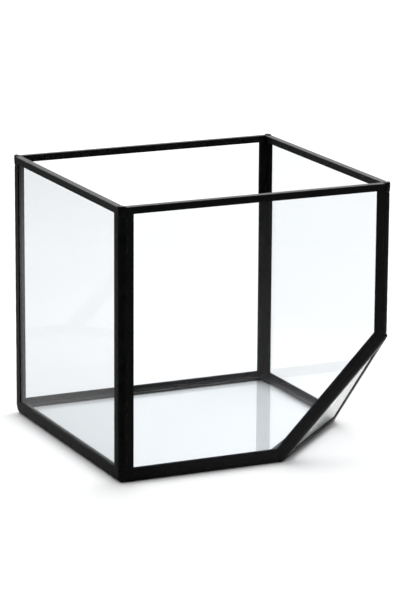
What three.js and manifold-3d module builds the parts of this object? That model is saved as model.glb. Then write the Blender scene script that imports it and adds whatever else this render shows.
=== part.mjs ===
// An open-top geometric glass terrarium: a clear box, a little wider than it is deep or tall, with
// its lower front right corner cut off by a triangular pane. Every pane has its own black metal
// U-channel round its edges. The framed panes stand corner to corner, and the groove that this
// leaves along each edge of the box is filled with solder, painted black like the channels.
//
// Millimetres, +Z up. The origin is at the middle of the box's footprint, on the surface that it
// stands on. The front is at -Y, and the cut corner is at +X.

import * as THREE from 'three';
import { mergeVertices } from 'three/addons/utils/BufferGeometryUtils.js';
import { ConvexGeometry } from 'three/addons/geometries/ConvexGeometry.js';
import Module from 'manifold-3d';

// ---- driving dimensions -------------------------------------------------------------------------

const WIDTH = 170; // outside, along X
const DEPTH = 160; // outside, along Y
const HEIGHT = 159; // floor to the top of the rim

// How far from the missing corner the cut starts, up the post and along the two bottom edges.
const CUT_UP = 69;
const CUT_ALONG_FRONT = 68.5;
const CUT_ALONG_SIDE = 65.5;

const WALL_GLASS = 2; // thickness of the walls and of the corner pane
const BASE_GLASS = 5; // the base pane is thicker
const GLASS_FIT = 0.15; // clearance between the glass and the channel, on each face and at the edge

const CHANNEL_SHEET = 0.3; // sheet that the two flanges of the U-channel are folded from
const CHANNEL_WEB = 0.8; // web across the edge of the glass
const CHANNEL_FLANGE = 4.15; // how far the channel reaches in over the pane, web included
const RIM_THICKNESS = 4.2; // through the heavier channels along the rim of the front and side walls
const MITRE_GAP = 0.3; // between two channels that meet at a corner of their pane

// How far each pane's channels end short of the edges of the box. The panes are set by hand, so
// they differ a little.
const INSETS = { front: 4.5, right: 3.6, back: 3.2, left: 3.6, base: 3.4, corner: 1.1 };
const CUT_INSETS = { front: 3.4, right: 3.6, base: 4.7 }; // the same, short of the corner pane's edges
const BASE_STANDOFF = 4.2; // the walls stand this far above the floor, on the solder round the base

const SOLDER_GAP = 0.3; // between the solder and the metal that it is run against
const SOLDER_STEPS = 7; // facets across the rounded outer face of the solder
const JOINT_CLEARANCE = 0.45; // by which a joint's corners stand clear of the seams
const JOINT_SETBACK = 0.4; // a joint at the foot ends this far short of the channels' corners
const TOP_JOINT = 5; // length of the solder dot that closes each post at the rim
const TOP_DOME = 0.6; // height of that dot above the rim
const TOP_DOME_SCALE = 0.55; // size of the dot's top against its foot

// ---- materials ----------------------------------------------------------------------------------

const glassMaterial = new THREE.MeshStandardMaterial({
  name: 'clear_glass',
  color: 0xf2f8fb,
  roughness: 0.02,
  metalness: 0,
  transparent: true,
  opacity: 0.2,
});
const channelMaterial = new THREE.MeshStandardMaterial({
  name: 'black_channel',
  color: 0x0d0d0e,
  roughness: 0.35,
  metalness: 0,
});
const solderMaterial = new THREE.MeshStandardMaterial({
  name: 'black_solder',
  color: 0x101011,
  roughness: 0.45,
  metalness: 0,
});

// ---- outer shape --------------------------------------------------------------------------------

const point = (x, y, z) => new THREE.Vector3(x, y, z);

function centreOf(points) {
  const sum = points.reduce((total, place) => total.add(place), point(0, 0, 0));
  return sum.divideScalar(points.length);
}

const LEFT = -WIDTH / 2;
const RIGHT = WIDTH / 2;
const FRONT = -DEPTH / 2;
const BACK = DEPTH / 2;

const corners = {
  top_front_left: point(LEFT, FRONT, HEIGHT),
  top_front_right: point(RIGHT, FRONT, HEIGHT),
  top_back_right: point(RIGHT, BACK, HEIGHT),
  top_back_left: point(LEFT, BACK, HEIGHT),
  bottom_front_left: point(LEFT, FRONT, 0),
  bottom_back_left: point(LEFT, BACK, 0),
  bottom_back_right: point(RIGHT, BACK, 0),
  cut_post: point(RIGHT, FRONT, CUT_UP),
  cut_front: point(RIGHT - CUT_ALONG_FRONT, FRONT, 0),
  cut_side: point(RIGHT, FRONT + CUT_ALONG_SIDE, 0),
};

// The corners of each pane's face, counter-clockwise as seen from outside the box.
const outlines = {
  front: ['bottom_front_left', 'cut_front', 'cut_post', 'top_front_right', 'top_front_left'],
  right: ['cut_side', 'bottom_back_right', 'top_back_right', 'top_front_right', 'cut_post'],
  back: ['bottom_back_right', 'bottom_back_left', 'top_back_left', 'top_back_right'],
  left: ['bottom_back_left', 'bottom_front_left', 'top_front_left', 'top_back_left'],
  base: ['bottom_front_left', 'bottom_back_left', 'bottom_back_right', 'cut_side', 'cut_front'],
  corner: ['cut_post', 'cut_front', 'cut_side'],
};

// ---- plane geometry -----------------------------------------------------------------------------

// Moves each side of a convex, counter-clockwise polygon inwards by its own distance.
function insetPolygon(polygon, distances) {
  const lines = polygon.map((start, i) => {
    const along = polygon[(i + 1) % polygon.length].clone().sub(start).normalize();
    const inward = new THREE.Vector2(-along.y, along.x);
    return { origin: start.clone().addScaledVector(inward, distances[i]), along };
  });
  return lines.map((line, i) => {
    const previous = lines[(i + lines.length - 1) % lines.length];
    const offset = line.origin.clone().sub(previous.origin);
    const travel = offset.cross(line.along) / previous.along.cross(line.along);
    return previous.origin.clone().addScaledVector(previous.along, travel);
  });
}

const insetEvenly = (polygon, distance) => insetPolygon(polygon, polygon.map(() => distance));

// A plate with the given outline, from height bottom to height top above its pane's outer face.
function plate(polygon, bottom, top) {
  const options = { depth: top - bottom, bevelEnabled: false };
  return new THREE.ExtrudeGeometry(new THREE.Shape(polygon), options).translate(0, 0, bottom);
}

// ---- solids -------------------------------------------------------------------------------------

const wasm = await Module();
wasm.setup();

function solidOf(geometry) {
  const bare = geometry.clone();
  bare.deleteAttribute('normal');
  bare.deleteAttribute('uv');
  const merged = mergeVertices(bare, 1e-4);
  const vertProperties = new Float32Array(merged.attributes.position.array);
  const triVerts = new Uint32Array(merged.index.array);
  return new wasm.Manifold(new wasm.Mesh({ numProp: 3, vertProperties, triVerts }));
}

function geometryOf(solid) {
  const mesh = solid.getMesh();
  const geometry = new THREE.BufferGeometry();
  geometry.setAttribute('position', new THREE.BufferAttribute(new Float32Array(mesh.vertProperties), 3));
  geometry.setIndex(new THREE.BufferAttribute(new Uint32Array(mesh.triVerts), 1));
  const flat = geometry.toNonIndexed();
  flat.computeVertexNormals();
  return flat;
}

const subtract = (body, tool) => geometryOf(solidOf(body).subtract(solidOf(tool)));

function namedMesh(name, geometry, material) {
  const mesh = new THREE.Mesh(geometry, material);
  mesh.name = name;
  return mesh;
}

// ---- framed panes -------------------------------------------------------------------------------

// A pane's own axes: x along its first side, z straight out of the box, origin at its first corner.
function paneAxes(names) {
  const [first, second, third] = names.map((name) => corners[name]);
  const x = second.clone().sub(first).normalize();
  const z = x.clone().cross(third.clone().sub(second)).normalize();
  return { origin: first, x, y: z.clone().cross(x), z };
}

const panes = Object.entries(outlines).map(([name, names]) => ({ name, names, axes: paneAxes(names) }));

const glassThickness = (pane) => (pane.name === 'base' ? BASE_GLASS : WALL_GLASS);

const hasBoth = (names, start, end) => names.includes(start) && names.includes(end);

const channelThickness = (pane) => glassThickness(pane) + 2 * (GLASS_FIT + CHANNEL_SHEET);

// The other pane at the side that runs between two corners, or undefined at the open rim.
function neighbourOf(pane, start, end) {
  return panes.find((other) => other !== pane && hasBoth(other.names, start, end));
}

// How far a framed pane ends short of the edge that it shares with its neighbour.
function edgeInset(pane, neighbour) {
  if (!neighbour) return 0;
  if (neighbour.name === 'corner') return CUT_INSETS[pane.name];
  const standsOnBase = neighbour.name === 'base' && pane.name !== 'corner';
  return standsOnBase ? BASE_STANDOFF : INSETS[pane.name];
}

// The pane's sides, each with its neighbour, and the outline of its channels in its own axes.
function frameOf(pane) {
  const { origin, x, y } = pane.axes;
  const flat = pane.names.map((name) => {
    const offset = corners[name].clone().sub(origin);
    return new THREE.Vector2(offset.dot(x), offset.dot(y));
  });
  pane.sides = pane.names.map((start, i) => {
    const end = pane.names[(i + 1) % pane.names.length];
    const neighbour = neighbourOf(pane, start, end);
    return { start, end, neighbour, inset: edgeInset(pane, neighbour) };
  });
  pane.frame = insetPolygon(flat, pane.sides.map((side) => side.inset));
}

panes.forEach(frameOf);

// How thick the channel along side i of a pane is. At the rim its inner flange is heavier, but for
// the back wall's.
function barThickness(pane, i) {
  const heavy = !pane.sides[i].neighbour && pane.name !== 'back';
  return heavy ? RIM_THICKNESS : channelThickness(pane);
}

// One straight length of U-channel along side i of a pane, mitred at both ends.
function channelBar(pane, i) {
  const { frame } = pane;
  const opening = insetEvenly(frame, CHANNEL_FLANGE);
  const next = (i + 1) % frame.length;
  const bar = [frame[i], frame[next], opening[next], opening[i]];
  const trimmed = insetPolygon(bar, [0, MITRE_GAP / 2, 0, MITRE_GAP / 2]);

  const along = frame[next].clone().sub(frame[i]).normalize();
  const inward = new THREE.Vector2(-along.y, along.x);
  const at = (end, run, reach) => end.clone().addScaledVector(along, run).addScaledVector(inward, reach);
  const overrun = 2 * CHANNEL_FLANGE;
  const slot = [
    at(frame[i], -overrun, CHANNEL_WEB),
    at(frame[next], overrun, CHANNEL_WEB),
    at(frame[next], overrun, overrun),
    at(frame[i], -overrun, overrun),
  ];
  return subtract(
    plate(trimmed, -barThickness(pane, i), 0),
    plate(slot, CHANNEL_SHEET - channelThickness(pane), -CHANNEL_SHEET),
  );
}

function glassPane(pane) {
  const outer = -CHANNEL_SHEET - GLASS_FIT;
  const outline = insetEvenly(pane.frame, CHANNEL_WEB + GLASS_FIT);
  return plate(outline, outer - glassThickness(pane), outer);
}

function framedPane(pane) {
  const group = new THREE.Group();
  group.add(namedMesh(`glass_${pane.name}`, glassPane(pane), glassMaterial));
  pane.sides.forEach((side, i) => {
    const edge = side.neighbour ? side.neighbour.name : 'rim';
    group.add(namedMesh(`channel_${pane.name}_${edge}`, channelBar(pane, i), channelMaterial));
  });
  const { x, y, z, origin } = pane.axes;
  group.quaternion.setFromRotationMatrix(new THREE.Matrix4().makeBasis(x, y, z));
  group.position.copy(origin);
  return group;
}

// ---- solder along the edges ---------------------------------------------------------------------

// The corner of a pane's channels nearest one of its corners, in the box's axes.
function frameCorner(pane, name) {
  const { x, y, origin } = pane.axes;
  const flat = pane.frame[pane.names.indexOf(name)];
  return origin.clone().addScaledVector(x, flat.x).addScaledVector(y, flat.y);
}

// How deep the solder lies against a pane's channel. The base pane is thick enough to stand up
// between the walls, and the solder round it stops below them.
function solderDepth(pane) {
  return pane.name === 'base' ? BASE_STANDOFF - SOLDER_GAP : channelThickness(pane);
}

// The two points that a pane gives to the solder's section at an edge: outer face, inner face.
function sectionPoints(pane, edge) {
  const side = pane.sides.find(({ start, end }) => hasBoth(edge.names, start, end));
  const along = corners[side.end].clone().sub(corners[side.start]).normalize();
  const inward = pane.axes.z.clone().cross(along);
  const outer = inward.multiplyScalar(side.inset - SOLDER_GAP);
  const inner = outer.clone().addScaledVector(pane.axes.z, -solderDepth(pane));
  return [outer, inner];
}

// The solder's section at an edge, as offsets from the edge. It fills the groove between the two
// channels, and its outer face is a curve that leaves each channel along that channel's own face.
function solderSection(edge) {
  const [outerA, innerA] = sectionPoints(edge.panes[0], edge);
  const [outerB, innerB] = sectionPoints(edge.panes[1], edge);
  const crown = [];
  for (let step = 1; step < SOLDER_STEPS; step += 1) {
    const share = step / SOLDER_STEPS;
    const fromB = outerB.clone().multiplyScalar((1 - share) ** 2);
    crown.push(fromB.addScaledVector(outerA, share ** 2));
  }
  return [outerA, innerA, innerB, outerB, ...crown];
}

// The direction in which an edge leaves one of its corners.
function directionFrom(edge, name) {
  const away = edge.names.find((other) => other !== name);
  return corners[away].clone().sub(corners[name]).normalize();
}

// How far along an edge, from one of its corners, the joint there reaches: nearly to the channels of
// the edge's own panes, and past the channels of the third pane that meets them.
function endOfJoint(edge, name) {
  const along = directionFrom(edge, name);
  const reach = (place) => place.clone().sub(corners[name]).dot(along);
  const own = edge.panes.map((pane) => reach(frameCorner(pane, name)));
  const third = panes.find((pane) => pane.names.includes(name) && !edge.panes.includes(pane));
  const outer = frameCorner(third, name);
  const inner = outer.clone().addScaledVector(third.axes.z, -solderDepth(third));
  return Math.max(Math.min(...own) - JOINT_SETBACK, reach(outer), reach(inner));
}

// The section of an edge's solder, set at a distance from one of its ends.
function sectionAt(edge, name, distance) {
  const centre = corners[name].clone().addScaledVector(directionFrom(edge, name), distance);
  return edge.section.map((offset) => offset.clone().add(centre));
}

function edgesOfBox() {
  const edges = [];
  panes.forEach((pane) => {
    pane.sides.forEach(({ start, end, neighbour }) => {
      const seen = edges.some((edge) => hasBoth(edge.names, start, end));
      if (neighbour && !seen) edges.push({ names: [start, end], panes: [pane, neighbour] });
    });
  });
  edges.forEach((edge) => {
    edge.section = solderSection(edge);
  });
  return edges;
}

const edges = edgesOfBox();

// The solder dot that closes a post at the rim, with a low rounded top.
function topJoint(edge, name) {
  const foot = sectionAt(edge, name, TOP_JOINT);
  const rim = sectionAt(edge, name, 0);
  const middle = centreOf(rim);
  const dome = rim.map((corner) => middle.clone().lerp(corner, TOP_DOME_SCALE).setZ(HEIGHT + TOP_DOME));
  return [...foot, ...rim, ...dome];
}

// The solder at a corner of the box: where three edges meet, it spans the ends of their sections.
function jointPoints(name) {
  const meeting = edges.filter((edge) => edge.names.includes(name));
  if (name.startsWith('top_')) return topJoint(meeting[0], name);
  return meeting.flatMap((edge) => sectionAt(edge, name, endOfJoint(edge, name)));
}

function joint(name) {
  return namedMesh(`joint_${name}`, new ConvexGeometry(jointPoints(name)), solderMaterial);
}

// The room that a joint takes out of the seams that run into it.
function jointClearance(name) {
  const points = jointPoints(name);
  const middle = centreOf(points);
  const grown = points.map((corner) => {
    const radius = corner.distanceTo(middle);
    return middle.clone().lerp(corner, 1 + JOINT_CLEARANCE / radius);
  });
  return new ConvexGeometry(grown);
}

// A bead of solder along an edge of the box, between the joints at its two ends.
function seam(edge) {
  const ends = edge.names.flatMap((name) => {
    const start = name.startsWith('top_') ? TOP_JOINT : endOfJoint(edge, name);
    return sectionAt(edge, name, start + SOLDER_GAP);
  });
  const whole = new ConvexGeometry(ends);
  const bead = edge.names.reduce((body, name) => subtract(body, jointClearance(name)), whole);
  return namedMesh(`seam_${edge.panes[0].name}_${edge.panes[1].name}`, bead, solderMaterial);
}

// ---- assembly -----------------------------------------------------------------------------------

const terrarium = new THREE.Group();
panes.forEach((pane) => terrarium.add(framedPane(pane)));
edges.forEach((edge) => terrarium.add(seam(edge)));
Object.keys(corners).forEach((name) => terrarium.add(joint(name)));

export default terrarium;
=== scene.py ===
"""Looks of an open-top geometric glass terrarium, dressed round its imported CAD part."""

import math

import bmesh
import bpy
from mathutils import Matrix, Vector, noise


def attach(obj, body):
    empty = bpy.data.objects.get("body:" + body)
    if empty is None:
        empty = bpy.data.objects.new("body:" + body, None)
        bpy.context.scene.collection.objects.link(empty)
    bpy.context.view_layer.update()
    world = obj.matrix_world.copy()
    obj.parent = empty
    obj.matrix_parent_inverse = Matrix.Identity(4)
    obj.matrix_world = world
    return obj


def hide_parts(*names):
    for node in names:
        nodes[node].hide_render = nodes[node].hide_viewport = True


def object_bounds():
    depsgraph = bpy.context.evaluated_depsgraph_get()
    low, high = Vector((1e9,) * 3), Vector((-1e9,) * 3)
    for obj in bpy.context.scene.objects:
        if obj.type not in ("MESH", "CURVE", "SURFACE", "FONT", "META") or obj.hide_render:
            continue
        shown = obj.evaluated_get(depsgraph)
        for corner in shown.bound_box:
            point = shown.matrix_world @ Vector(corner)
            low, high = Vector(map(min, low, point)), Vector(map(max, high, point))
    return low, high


MM = 0.001

# ---- the photograph's view of the part ----------------------------------------------------------

VIEW_AZIMUTH = math.radians(-24.94)
VIEW_ELEVATION = math.radians(14.06)
VIEW_ROLL = math.radians(0.35)
VIEW_DISTANCE = 1801 * MM
VIEW_CENTRE = Vector((0.0, -3.5, 76.5)) * MM
VIEW_SHIFT_RIGHT = -0.2 * MM
VIEW_SHIFT_UP = 4.2 * MM
VIEW_END = 50  # beyond which the camera sees nothing
HALF_HEIGHT_PIXELS = 300  # of the photograph
FOCAL_PIXELS = 3053

# ---- the metal and the solder -------------------------------------------------------------------

# The folded channels.
SAME_POINT = 0.001 * MM  # within which two points of a solid are one
SAME_PLANE = math.radians(1)  # within which two faces of a solid are one
BEND_RADIUS = 0.4 * MM
BEND_STEPS = 4
LIP_RADIUS = 0.1 * MM
LIP_STEPS = 2
LIP_WIDTH = 0.6 * MM  # a face narrower than this is a cut edge of the sheet
MITRE_HALF_GAP = 0.15 * MM  # by which a bar's end is carried on, to meet the next bar
END_SLANT = 0.2  # a face whose normal leans more than this along a bar is one of its ends
STRAIGHT = 0.99  # cosine of the most that a bar's long edges may lean from its length
CHANNEL_CREASE = math.radians(35)  # from which an edge is shaded sharp
FLAT_FACE_WEIGHT = 100  # by which flat faces outweigh the bends in the shading

# The solder along the edges of the box.
GROOVE_GAP = 0.3 * MM  # between the metal and the solder of the CAD part
BEAD_REACH = 0.3 * MM  # how far a bead runs over the bend of each channel
BEAD_SINK = 0.12 * MM  # how far its edge has sunk below the channel's face there
BEAD_STATION = 2.0 * MM  # between two sections of a bead
BEAD_LEAST = 4  # stations along the shortest bead
BEAD_OVERRUN = 0.75 * MM  # by which a bead runs into the joints at its ends
BEAD_CLOSING = 0.15  # share by which its end sections are drawn in
BEAD_UNEVEN = 0.14 * MM
BEAD_WAVE = 9 * MM  # length of its unevenness
BEAD_RIPPLE = BEAD_WAVE / 2  # length of the finer unevenness over that
BEAD_CREASE = math.radians(50)
CROWN_STEPS = 8
FILLET = 1.2 * MM  # reach of the solder along both inner faces, from where they meet
FILLET_STEPS = 5

# The solder at the corners of the box.
JOINT_REACH = 0.35 * MM  # by which it is larger than the solid of the CAD part
JOINT_VOXEL = 0.45 * MM
JOINT_SMOOTHING = 5
JOINT_UNEVEN = 0.12 * MM
JOINT_WAVE = 3 * MM
JOINT_SINK = 0.03 * MM  # below the faces of the channels, which it runs under

# The back left foot, where the solder lies back below the post.
STEPPED_FOOT = "joint_bottom_back_left"
STEP_OUTWARD = Vector((-1.0, 1.0, 0.0)).normalized()
STEP_CUT = 4.2 * MM  # from the corner of the box in to the flat that the step leaves
STEP_TOP = 5.0 * MM
STEP_FADE = 0.3 * MM  # height over which the step comes in below its top

# ---- the materials ------------------------------------------------------------------------------

GLASS_BLUE = (0.966, 0.986, 1.0)
GLASS_PALE = (0.978, 0.992, 1.0)
GLASS_SMEAR = 0.012  # roughness where it is most smeared
GLASS_WAVE = 0.004 * MM  # depth of the waves in its surface
GLASS_IOR = 1.5
GLASS_LETS_THROUGH = (0.98, 0.987, 0.992)  # of the light that lamps and walls cast on the floor

PAINT_SPECULAR = 0.18  # a deep satin black mirrors less than bare plastic
MOTTLE_START = 0.12
MOTTLE_FULL = 0.42
CHANNEL_DARK = (0.0006, 0.0006, 0.0007)
CHANNEL_LIGHT = (0.0028, 0.0028, 0.0031)
# Paint rubbed thin on the bends, and partly a painted highlight: the bends are lightened in patches
# as if they caught the light. The roughness below is lowered on the same patches.
CHANNEL_RUBBED_AND_HIGHLIGHT = (0.032, 0.030, 0.028)
RUBBED_SHINE = 0.1  # less roughness where the paint is rubbed
SOLDER_DARK = (0.0007, 0.0007, 0.0008)
SOLDER_LIGHT = (0.0032, 0.0032, 0.0035)

# ---- the light, where 1 is white to the eye and lengths are in metres ---------------------------

FLOOR_SIZE = 12
FLOOR_ALBEDO = 0.92
FLOOR_ROUGHNESS = 0.9
BACKDROP = 1.24  # the white surroundings, as seen past the box
SWEEP_START = 0.16  # from the middle, where the floor starts to pass into the backdrop
SWEEP_FULL = 0.5

# What glossy surfaces see.
MIRRORED_SIDE = 0.15  # of the sides and the front
MIRRORED_BACK = 1.05  # of the backdrop and the ceiling
BACK_EDGE = 0.1  # cosine of the angle from straight back at which the backdrop starts
BACK_FULL = 0.6
CEILING_EDGE = 0.5  # the same for the ceiling, from straight up
CEILING_FULL = 0.9
MIRRORED_FLOOR = 0.3  # albedo of the floor, but for the patch
MIRRORED_DARK = 0.01  # and towards the front left, and far away
DARK_TOWARD = Vector((-0.8, -0.6, 0.0))
DARK_START = 0.03  # from the middle that way, where the floor starts to darken
DARK_FULL = 0.22
FAR_START = 0.55  # the same, from the middle any way
FAR_FULL = 1.0
PATCH_CENTRE = Vector((0.16, 0.02, 0.0))  # of the floor that stays white in mirrors
PATCH_REACH = 0.14  # from its centre, where it starts to fade
PATCH_FADE = 0.26  # and where it has faded out

FILL_FROM = Vector((0.1, 0.4, 1.0)).normalized()
FILL_EDGE = 0.0  # cosine of the angle from its middle at which the fill light fades out
FILL_CORE = 0.9
FILL = 1.12  # at the middle of the fill light
DARK = 0.05  # what falls on the scene from everywhere else
KEY_FROM = Vector((0.4, 0.45, 0.8)).normalized()
KEY_DISTANCE = 2.4
KEY_SIZE = 3.2
KEY_POWER = 49  # watts

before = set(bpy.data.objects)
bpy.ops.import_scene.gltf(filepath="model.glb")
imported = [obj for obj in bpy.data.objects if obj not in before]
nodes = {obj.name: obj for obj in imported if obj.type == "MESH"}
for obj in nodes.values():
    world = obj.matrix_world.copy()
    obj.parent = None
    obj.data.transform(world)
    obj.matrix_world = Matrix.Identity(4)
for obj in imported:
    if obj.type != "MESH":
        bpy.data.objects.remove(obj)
cad_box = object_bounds()
low_corner = Vector(cad_box[0])
high_corner = Vector(cad_box[1])


# ---- shared helpers -----------------------------------------------------------------------------


def nodes_named(prefix):
    return [nodes[name] for name in sorted(nodes) if name.startswith(prefix)]


def points_of(node):
    return [vertex.co for vertex in node.data.vertices]


def middle_of(points):
    return sum(points, Vector()) / len(points)


def clamped(share):
    return max(0.0, min(1.0, share))


def add_piece(mesh, node, material):
    """Puts a mesh in the scene as the piece that stands for a node."""
    mesh.materials.clear()
    mesh.materials.append(material)
    mesh.name = node.name + "_made"
    piece = bpy.data.objects.new(node.name + "_made", mesh)
    bpy.context.scene.collection.objects.link(piece)
    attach(piece, "root")
    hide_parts(node.name)
    return piece


def flat_faced(node):
    """A node's solid as a bmesh of whole flat faces."""
    solid = bmesh.new()
    solid.from_mesh(node.data)
    bmesh.ops.remove_doubles(solid, verts=solid.verts, dist=SAME_POINT)
    bmesh.ops.dissolve_limit(
        solid, angle_limit=SAME_PLANE, verts=solid.verts, edges=solid.edges
    )
    return solid


def mesh_of(solid, name):
    mesh = bpy.data.meshes.new(name)
    solid.to_mesh(mesh)
    solid.free()
    return mesh


def length_axis(solid):
    """The direction of a solid's longest edge."""
    longest = max(solid.edges, key=lambda edge: edge.calc_length())
    return (longest.verts[1].co - longest.verts[0].co).normalized()


def pane_faces():
    """Each pane's outward normal, and how far out along it the faces of its channels lie."""
    box_middle = (low_corner + high_corner) / 2
    faces = {}
    for glass in nodes_named("glass_"):
        pane = glass.name.split("_")[1]
        normal = max(glass.data.polygons, key=lambda face: face.area).normal.copy()
        if normal.dot(middle_of(points_of(glass)) - box_middle) < 0:
            normal.negate()
        metal = [place for bar in nodes_named(f"channel_{pane}_") for place in points_of(bar)]
        faces[pane] = (normal, max(normal.dot(place) for place in metal))
    return faces


PANE_FACES = pane_faces()


# ---- shaders ------------------------------------------------------------------------------------

# The colour sockets of Blender's mix node, whose names are shared with its number sockets.
MIX_LOW = 6
MIX_HIGH = 7
MIX_RESULT = 2


def grey(level):
    return (level, level, level)


class Nodes:
    """A node tree and short ways to add to it. A value is a socket, a number or a colour."""

    def __init__(self, tree):
        self.tree = tree

    def add(self, kind, **settings):
        node = self.tree.nodes.new("ShaderNode" + kind)
        for key, value in settings.items():
            setattr(node, key, value)
        return node

    def give(self, value, socket):
        if isinstance(value, bpy.types.NodeSocket):
            self.tree.links.new(value, socket)
        elif isinstance(value, tuple):
            socket.default_value = (*value, 1)
        else:
            socket.default_value = value

    def maths(self, operation, first, second):
        node = self.add("Math", operation=operation)
        self.give(first, node.inputs[0])
        self.give(second, node.inputs[1])
        return node.outputs[0]

    def measure(self, operation, vector, other=None):
        """A number worked out from a vector, or from a vector and a fixed other one."""
        node = self.add("VectorMath", operation=operation)
        self.give(vector, node.inputs[0])
        if other is not None:
            node.inputs[1].default_value = other
        return node.outputs["Value"]

    def between(self, factor, low, high, start, end, interpolation="LINEAR"):
        """Carries a factor that runs from start to end over to low to high."""
        reach = self.add("MapRange", clamp=True, interpolation_type=interpolation)
        self.give(factor, reach.inputs["Value"])
        numbers = {"From Min": start, "From Max": end, "To Min": low, "To Max": high}
        for name, number in numbers.items():
            reach.inputs[name].default_value = number
        return reach.outputs["Result"]

    def tint(self, factor, low, high):
        """A colour that runs from low to high with a factor."""
        mix = self.add("Mix", data_type="RGBA")
        self.give(factor, mix.inputs["Factor"])
        self.give(low, mix.inputs[MIX_LOW])
        self.give(high, mix.inputs[MIX_HIGH])
        return mix.outputs[MIX_RESULT]

    def pick(self, factor, without, within):
        """One number where the factor is 0, and the other where it is 1."""
        kept = self.maths("MULTIPLY", self.maths("SUBTRACT", 1.0, factor), without)
        return self.maths("ADD", kept, self.maths("MULTIPLY", factor, within))

    def once(self, kind):
        """1 for a ray that has been mirrored ("Glossy") or scattered ("Diffuse") before, else 0."""
        depth = self.add("LightPath").outputs[kind + " Depth"]
        return self.maths("GREATER_THAN", depth, 0.5)


class Shader(Nodes):
    """A material's node tree."""

    def __init__(self, name):
        self.material = bpy.data.materials.new(name)
        self.material.use_nodes = True
        super().__init__(self.material.node_tree)
        self.surface = self.tree.nodes["Principled BSDF"]
        self.output = self.tree.nodes["Material Output"]

    def set(self, name, value):
        self.give(value, self.surface.inputs[name])

    def place(self):
        return self.add("TexCoord").outputs["Object"]

    def noise(self, size, detail, roughness=0.5):
        """Noise with features of about the given size, from 0 to 1."""
        texture = self.add("TexNoise")
        texture.inputs["Scale"].default_value = 1 / size
        texture.inputs["Detail"].default_value = detail
        texture.inputs["Roughness"].default_value = roughness
        self.give(self.place(), texture.inputs["Vector"])
        return texture.outputs["Fac"]

    def mottle(self, clouds, flecks, dark, light):
        """A colour that two noises carry together from dark to light."""
        both = self.maths("MULTIPLY", clouds, flecks)
        factor = self.between(both, 0.0, 1.0, MOTTLE_START, MOTTLE_FULL)
        return self.tint(factor, dark, light)

    def bump(self, height, depth, under=None):
        node = self.add("Bump")
        node.inputs["Strength"].default_value = 1.0
        node.inputs["Distance"].default_value = depth
        self.give(height, node.inputs["Height"])
        if under:
            self.give(under, node.inputs["Normal"])
        return node.outputs["Normal"]


def clear_glass():
    """Clear float glass with a breath of blue, faint smears, and light let through to the floor."""
    shader = Shader("clear_glass")
    smears = shader.noise(size=30 * MM, detail=4, roughness=0.6)
    waves = shader.noise(size=40 * MM, detail=0)
    shader.set("Base Color", shader.tint(smears, GLASS_BLUE, GLASS_PALE))
    shader.set("Roughness", shader.between(smears, low=0.0, high=GLASS_SMEAR, start=0.55, end=0.8))
    shader.set("Normal", shader.bump(waves, depth=GLASS_WAVE))
    shader.set("IOR", GLASS_IOR)
    shader.set("Transmission Weight", 1.0)

    for_light = shader.add("BsdfTransparent")
    shader.give(GLASS_LETS_THROUGH, for_light.inputs["Color"])
    path = shader.add("LightPath")
    unseen = shader.maths("MAXIMUM", path.outputs["Is Shadow Ray"], path.outputs["Is Diffuse Ray"])
    mix = shader.add("MixShader")
    shader.give(unseen, mix.inputs["Fac"])
    shader.give(shader.surface.outputs[0], mix.inputs[1])
    shader.give(for_light.outputs[0], mix.inputs[2])
    shader.give(mix.outputs[0], shader.output.inputs["Surface"])
    return shader.material


def channel_paint():
    """Satin black on folded sheet: cloudy tone, fine grain, and the bends lightened in patches,
    partly as paint rubbed thin and partly as a painted highlight along the bends.
    """
    shader = Shader("black_channel")
    clouds = shader.noise(size=14 * MM, detail=3)
    flecks = shader.noise(size=0.9 * MM, detail=2)
    spots = shader.noise(size=3.5 * MM, detail=4)
    patches = shader.between(spots, low=0.0, high=1.0, start=0.52, end=0.72)
    bends = shader.add("Attribute", attribute_name="bend").outputs["Fac"]
    # mask of the lightened bends: partly rubbed paint, partly a painted highlight
    rubbed_and_highlight = shader.maths("MULTIPLY", bends, patches)
    tone = shader.mottle(clouds, flecks, CHANNEL_DARK, CHANNEL_LIGHT)
    satin = shader.between(flecks, low=0.34, high=0.48, start=0.3, end=0.7)
    shine = shader.maths("MULTIPLY", rubbed_and_highlight, RUBBED_SHINE)
    dents = shader.bump(shader.noise(size=8 * MM, detail=1), depth=0.05 * MM)
    fine = shader.noise(size=0.25 * MM, detail=1)
    grain = shader.bump(fine, depth=0.008 * MM, under=dents)
    # the bends are lightened here, partly as rubbed paint and partly as a painted highlight
    shader.set("Base Color", shader.tint(rubbed_and_highlight, tone, CHANNEL_RUBBED_AND_HIGHLIGHT))
    shader.set("Roughness", shader.maths("SUBTRACT", satin, shine))
    shader.set("Normal", grain)
    shader.set("Specular IOR Level", PAINT_SPECULAR)
    return shader.material


def solder_paint():
    """The same black over solder: lumpier, and glossier where the metal has run smooth."""
    shader = Shader("black_solder")
    clouds = shader.noise(size=6 * MM, detail=3)
    flecks = shader.noise(size=0.7 * MM, detail=3)
    lumps = shader.bump(shader.noise(size=2.2 * MM, detail=2), depth=0.08 * MM)
    fine = shader.noise(size=0.3 * MM, detail=1)
    grain = shader.bump(fine, depth=0.01 * MM, under=lumps)
    shader.set("Base Color", shader.mottle(clouds, flecks, SOLDER_DARK, SOLDER_LIGHT))
    shader.set("Roughness", shader.between(clouds, low=0.26, high=0.46, start=0.35, end=0.65))
    shader.set("Normal", grain)
    shader.set("Specular IOR Level", PAINT_SPECULAR)
    return shader.material


glass_material = clear_glass()
channel_material = channel_paint()
solder_material = solder_paint()


# ---- channels -----------------------------------------------------------------------------------


def face_width(face, axis):
    """A long face's width across the axis."""
    across = axis.cross(face.normal)
    reaches = [across.dot(corner.co) for corner in face.verts]
    return max(reaches) - min(reaches)


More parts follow.
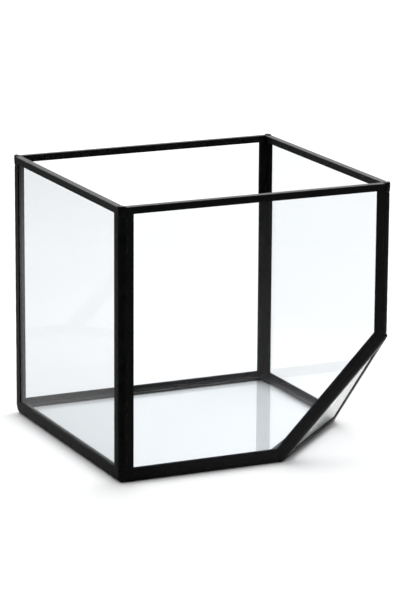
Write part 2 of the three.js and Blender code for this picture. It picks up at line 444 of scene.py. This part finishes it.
def carry_on_ends(solid, axis):
    """Moves a bar's mitred ends out along it until they touch the next bars."""
    moves = {}
    for face in solid.faces:
        slant = face.normal.dot(axis)
        if abs(slant) > END_SLANT:
            for corner in face.verts:
                moves[corner] = axis * (MITRE_HALF_GAP / slant)
    for corner, move in moves.items():
        corner.co += move


def long_edges(solid, axis, narrow):
    """The outward edges along a bar: those of its cut lips where narrow, else those of its bends."""
    chosen = []
    for edge in solid.edges:
        run = (edge.verts[1].co - edge.verts[0].co).normalized()
        if len(edge.link_faces) != 2 or abs(run.dot(axis)) < STRAIGHT or not edge.is_convex:
            continue
        widths = [face_width(face, axis) for face in edge.link_faces]
        if (min(widths) < LIP_WIDTH) == narrow:
            chosen.append(edge)
    return chosen


def mark_bends(solid, axis):
    """Writes 1 to the points on the rounded bends and lips, and 0 to those of the flat faces."""
    bend = solid.verts.layers.float.new("bend")
    for corner in solid.verts:
        sides = [face for face in corner.link_faces if abs(face.normal.dot(axis)) < END_SLANT]
        widest = max(face_width(face, axis) for face in sides)
        corner[bend] = 0.0 if widest > LIP_WIDTH else 1.0


def round_edges(solid, edges, radius, steps):
    bmesh.ops.bevel(
        solid,
        geom=edges,
        offset=radius,
        offset_type="OFFSET",
        segments=steps,
        profile=0.5,
        affect="EDGES",
        clamp_overlap=True,
    )
    solid.normal_update()


def folded_channel(node):
    """A bar of channel with rounded bends and softened lips, carried on to meet its neighbours."""
    solid = flat_faced(node)
    axis = length_axis(solid)
    carry_on_ends(solid, axis)
    round_edges(solid, long_edges(solid, axis, narrow=False), BEND_RADIUS, BEND_STEPS)
    round_edges(solid, long_edges(solid, axis, narrow=True), LIP_RADIUS, LIP_STEPS)
    mark_bends(solid, axis)
    mesh = mesh_of(solid, node.name)
    mesh.shade_smooth()
    mesh.set_sharp_from_angle(angle=CHANNEL_CREASE)
    piece = add_piece(mesh, node, channel_material)
    flat = piece.modifiers.new("flat faces", "WEIGHTED_NORMAL")
    flat.keep_sharp = True
    flat.weight = FLAT_FACE_WEIGHT


# ---- solder along the edges ---------------------------------------------------------------------


def groove_side(bar, pane, axis, seam_middle):
    """A channel beside a seam: the way to the edge, its web, and its outer and inner faces."""
    normal, outer = PANE_FACES[pane]
    places = points_of(bar)
    toward = axis.cross(normal).normalized()
    if toward.dot(seam_middle - middle_of(places)) < 0:
        toward.negate()
    web = max(toward.dot(place) for place in places)
    inner = min(normal.dot(place) for place in places)
    return {"toward": toward, "normal": normal, "web": web, "outer": outer, "inner": inner}


def section_point(side, reach, level, sink=0.0):
    """A point of a seam's section, from its reach past a channel's web and one of its faces."""
    inward = -sink if level == "outer" else sink
    return side["toward"] * (side["web"] + reach) + side["normal"] * (side[level] + inward)


def meeting_line(first, second, level):
    """Where two faces of a seam's channels meet, in the plane through the origin across the seam."""
    step = first["normal"].dot(second["normal"])
    a = (first[level] - second[level] * step) / (1 - step * step)
    b = (second[level] - first[level] * step) / (1 - step * step)
    return first["normal"] * a + second["normal"] * b


def curve(start, control, end, steps):
    """Points of a quadratic curve."""
    shares = [step / steps for step in range(steps + 1)]
    return [start * (1 - t) ** 2 + control * (2 * t * (1 - t)) + end * t**2 for t in shares]


def covered_side(side, inner_corner, spread):
    """A bead's way over one channel, from its outer face to the edge of the fillet inside."""
    reach = -BEAD_REACH - spread
    corner_reach = side["toward"].dot(inner_corner) - side["web"]
    fillet = min(corner_reach - FILLET, -BEAD_REACH) - spread
    return [
        section_point(side, 0.0, "outer", BEAD_SINK / 4),
        section_point(side, reach, "outer", BEAD_SINK),
        section_point(side, reach, "inner", BEAD_SINK),
        section_point(side, fillet - BEAD_SINK, "inner", BEAD_SINK),
        section_point(side, fillet, "inner"),
    ]


def bead_section(first, second, spread):
    """One section of a bead: over the crown, across both channels and along the fillet inside."""
    edge = meeting_line(first, second, "outer")
    inner_corner = meeting_line(first, second, "inner")
    start = section_point(first, GROOVE_GAP, "outer")
    end = section_point(second, GROOVE_GAP, "outer")
    crown = curve(start, edge, end, CROWN_STEPS)
    onto_second = covered_side(second, inner_corner, spread)
    onto_first = covered_side(first, inner_corner, spread)
    chord = (onto_second[-1] + onto_first[-1]) / 2
    fillet = curve(onto_second[-1], chord.lerp(inner_corner, 0.5), onto_first[-1], FILLET_STEPS)
    return crown + onto_second[:-1] + fillet + onto_first[-2::-1]


def bead_ring(first, second, centre, at_end):
    """A bead's uneven points round one place along it."""
    edge = meeting_line(first, second, "outer")
    spread = BEAD_UNEVEN * noise.noise((centre + edge) / BEAD_WAVE)
    section = bead_section(first, second, spread)
    heart = middle_of(section)
    ring = []
    for place in section:
        unevenness = 0.5 + 0.5 * noise.noise((centre + place) / BEAD_RIPPLE)
        spot = place + (heart - place).normalized() * (BEAD_UNEVEN * clamped(unevenness))
        if at_end:
            spot = spot.lerp(heart, BEAD_CLOSING)
        ring.append(centre + spot)
    return ring


def skin_over(rings, name):
    """A closed mesh that runs from each ring of points to the next."""
    solid = bmesh.new()
    loops = [[solid.verts.new(place) for place in ring] for ring in rings]
    for before, after in zip(loops, loops[1:]):
        for i in range(len(before)):
            j = (i + 1) % len(before)
            solid.faces.new((before[i], before[j], after[j], after[i]))
    solid.faces.new(loops[0])
    solid.faces.new(loops[-1])
    bmesh.ops.recalc_face_normals(solid, faces=solid.faces)
    return mesh_of(solid, name)


def solder_bead(node):
    """A bead of solder along an edge of the box."""
    first_pane, second_pane = node.name.split("_")[1:]
    first_bar = nodes[f"channel_{first_pane}_{second_pane}"]
    second_bar = nodes[f"channel_{second_pane}_{first_pane}"]
    shape = flat_faced(first_bar)
    axis = length_axis(shape)
    shape.free()
    places = points_of(node)
    first = groove_side(first_bar, first_pane, axis, middle_of(places))
    second = groove_side(second_bar, second_pane, axis, middle_of(places))

    low = min(axis.dot(place) for place in places) - BEAD_OVERRUN
    high = max(axis.dot(place) for place in places) + BEAD_OVERRUN
    count = max(BEAD_LEAST, round((high - low) / BEAD_STATION))
    rings = []
    for station in range(count + 1):
        centre = axis * (low + (high - low) * station / count)
        rings.append(bead_ring(first, second, centre, station in (0, count)))
    mesh = skin_over(rings, node.name)
    mesh.shade_smooth()
    mesh.set_sharp_from_angle(angle=BEAD_CREASE)
    add_piece(mesh, node, solder_material)


# ---- solder at the corners ----------------------------------------------------------------------


def grown_hull(node):
    """The hull of a node's points, each moved out a little from their middle."""
    solid = bmesh.new()
    places = points_of(node)
    middle = middle_of(places)
    for place in places:
        away = place - middle
        solid.verts.new(place + away.normalized() * JOINT_REACH)
    hull = bmesh.ops.convex_hull(solid, input=solid.verts)
    spare = [item for item in hull["geom_interior"] if isinstance(item, bmesh.types.BMVert)]
    bmesh.ops.delete(solid, geom=spare, context="VERTS")
    bmesh.ops.recalc_face_normals(solid, faces=solid.faces)
    return mesh_of(solid, node.name)


def run_smooth(mesh):
    """A mesh remade on an even grid, with its edges run smooth."""
    lump = bpy.data.objects.new("lump", mesh)
    bpy.context.scene.collection.objects.link(lump)
    remesh = lump.modifiers.new("even grid", "REMESH")
    remesh.mode = "VOXEL"
    remesh.voxel_size = JOINT_VOXEL
    smooth = lump.modifiers.new("run smooth", "SMOOTH")
    smooth.iterations = JOINT_SMOOTHING
    graph = bpy.context.evaluated_depsgraph_get()
    smoothed = bpy.data.meshes.new_from_object(lump.evaluated_get(graph))
    bpy.data.objects.remove(lump)
    return smoothed


def under_channels(place):
    """A place moved in, where it lies outside, to just below the faces of the channels."""
    for normal, outer in PANE_FACES.values():
        excess = normal.dot(place) - (outer - JOINT_SINK)
        if excess > 0:
            place = place - normal * excess
    return place


def stepped_back(place):
    """Where a place on the back left foot's solder lies, with its step below the post."""
    corner = Vector((low_corner.x, high_corner.y, 0.0))
    excess = max(0.0, STEP_OUTWARD.dot(place - corner) + STEP_CUT)
    share = clamped((STEP_TOP - place.z) / STEP_FADE)
    return place - STEP_OUTWARD * excess * share


def solder_joint(node):
    """The rounded solder at a corner of the box."""
    mesh = run_smooth(grown_hull(node))
    normals = [vertex.normal.copy() for vertex in mesh.vertices]
    top = max(place.z for place in points_of(node))
    for vertex, normal in zip(mesh.vertices, normals):
        uneven = vertex.co + normal * JOINT_UNEVEN * noise.noise(vertex.co / JOINT_WAVE)
        place = under_channels(uneven)
        place.z = min(place.z, top)
        vertex.co = stepped_back(place) if node.name == STEPPED_FOOT else place
    mesh.shade_smooth()
    add_piece(mesh, node, solder_material)


for pane in nodes_named("glass_"):
    pane.data.materials.clear()
    pane.data.materials.append(glass_material)
for bar in nodes_named("channel_"):
    folded_channel(bar)
for seam in nodes_named("seam_"):
    solder_bead(seam)
for joint in nodes_named("joint_"):
    solder_joint(joint)


# ---- stage --------------------------------------------------------------------------------------


def floor_material():
    """White, and passing into the white of the backdrop. Mirrored, it is dim but for one patch."""
    shader = Shader("floor")
    place = shader.place()
    mirrored = shader.once("Glossy")
    from_middle = shader.measure("LENGTH", place)
    from_patch = shader.measure("DISTANCE", place, PATCH_CENTRE)
    front_left = shader.measure("DOT_PRODUCT", place, DARK_TOWARD)

    off_patch = shader.between(from_patch, 0.0, 1.0, PATCH_REACH, PATCH_FADE)
    left = shader.between(front_left, 0.0, 1.0, DARK_START, DARK_FULL)
    far = shader.between(from_middle, 0.0, 1.0, FAR_START, FAR_FULL)
    dark = shader.maths("MAXIMUM", left, far)
    dim = shader.tint(dark, grey(MIRRORED_FLOOR), grey(MIRRORED_DARK))
    dimmed = shader.maths("MULTIPLY", mirrored, off_patch)
    lit = shader.tint(dimmed, grey(FLOOR_ALBEDO), dim)

    sweep = shader.between(from_middle, 0.0, 1.0, SWEEP_START, SWEEP_FULL)
    swept = shader.maths("MULTIPLY", sweep, shader.maths("SUBTRACT", 1.0, mirrored))
    shader.set("Base Color", shader.tint(swept, lit, grey(0.0)))
    shader.set("Emission Strength", shader.maths("MULTIPLY", swept, BACKDROP))
    shader.set("Emission Color", grey(1.0))
    shader.set("Roughness", FLOOR_ROUGHNESS)
    shader.set("Specular IOR Level", 0.0)
    return shader.material


def floor():
    bpy.ops.mesh.primitive_plane_add(size=FLOOR_SIZE, location=(0, 0, 0))
    plane = bpy.context.object
    plane.name = "floor"
    plane.data.materials.append(floor_material())


def surroundings():
    """White to the eye all round. Surfaces get a soft fill from above, and glossy ones mirror a
    bright backdrop and ceiling and dimmer sides."""
    world = bpy.data.worlds.new("studio")
    bpy.context.scene.world = world
    world.use_nodes = True
    sky = Nodes(world.node_tree)
    direction = sky.add("TexCoord").outputs["Generated"]

    def glow(toward, low, high, edge, full):
        """Light that rises from low to high as a ray turns towards a direction."""
        cosine = sky.measure("DOT_PRODUCT", direction, toward)
        return sky.between(cosine, low, high, edge, full, interpolation="SMOOTHSTEP")

    lit = glow(FILL_FROM, DARK, FILL, FILL_EDGE, FILL_CORE)
    backdrop = glow((0, 1, 0), MIRRORED_SIDE, MIRRORED_BACK, BACK_EDGE, BACK_FULL)
    ceiling = glow((0, 0, 1), MIRRORED_SIDE, MIRRORED_BACK, CEILING_EDGE, CEILING_FULL)
    mirrored = sky.maths("MAXIMUM", backdrop, ceiling)
    seen = sky.pick(sky.once("Glossy"), BACKDROP, mirrored)
    background = sky.tree.nodes["Background"]
    sky.give(grey(1.0), background.inputs["Color"])
    sky.give(sky.pick(sky.once("Diffuse"), seen, lit), background.inputs["Strength"])


def softbox():
    """The key light, high on the right and a little behind the box."""
    lamp = bpy.data.lights.new("softbox", "AREA")
    lamp.shape = "DISK"
    lamp.size = KEY_SIZE
    lamp.energy = KEY_POWER
    holder = bpy.data.objects.new("softbox", lamp)
    holder.location = KEY_FROM * KEY_DISTANCE
    holder.rotation_euler = KEY_FROM.to_track_quat("Z", "Y").to_euler()
    bpy.context.scene.collection.objects.link(holder)


def photograph_camera():
    """The camera, where it stood for the photograph."""
    forward = Vector(
        (
            -math.sin(VIEW_AZIMUTH) * math.cos(VIEW_ELEVATION),
            math.cos(VIEW_AZIMUTH) * math.cos(VIEW_ELEVATION),
            -math.sin(VIEW_ELEVATION),
        )
    )
    level = Vector((math.cos(VIEW_AZIMUTH), math.sin(VIEW_AZIMUTH), 0))
    upright = level.cross(forward)
    right = level * math.cos(VIEW_ROLL) + upright * math.sin(VIEW_ROLL)
    up = right.cross(forward)
    data = bpy.data.cameras.new("camera")
    data.sensor_fit = "VERTICAL"
    data.angle = 2 * math.atan(HALF_HEIGHT_PIXELS / FOCAL_PIXELS)
    data.clip_end = VIEW_END
    camera = bpy.data.objects.new("camera", data)
    turn = camera.matrix_world.to_3x3()
    turn.col[0], turn.col[1], turn.col[2] = right, up, -forward
    camera.matrix_world = turn.to_4x4()
    camera.location = (
        VIEW_CENTRE - forward * VIEW_DISTANCE + right * VIEW_SHIFT_RIGHT + up * VIEW_SHIFT_UP
    )
    bpy.context.scene.collection.objects.link(camera)
    bpy.context.scene.camera = camera


floor()
surroundings()
softbox()
photograph_camera()
bpy.context.scene.view_settings.view_transform = "Standard"
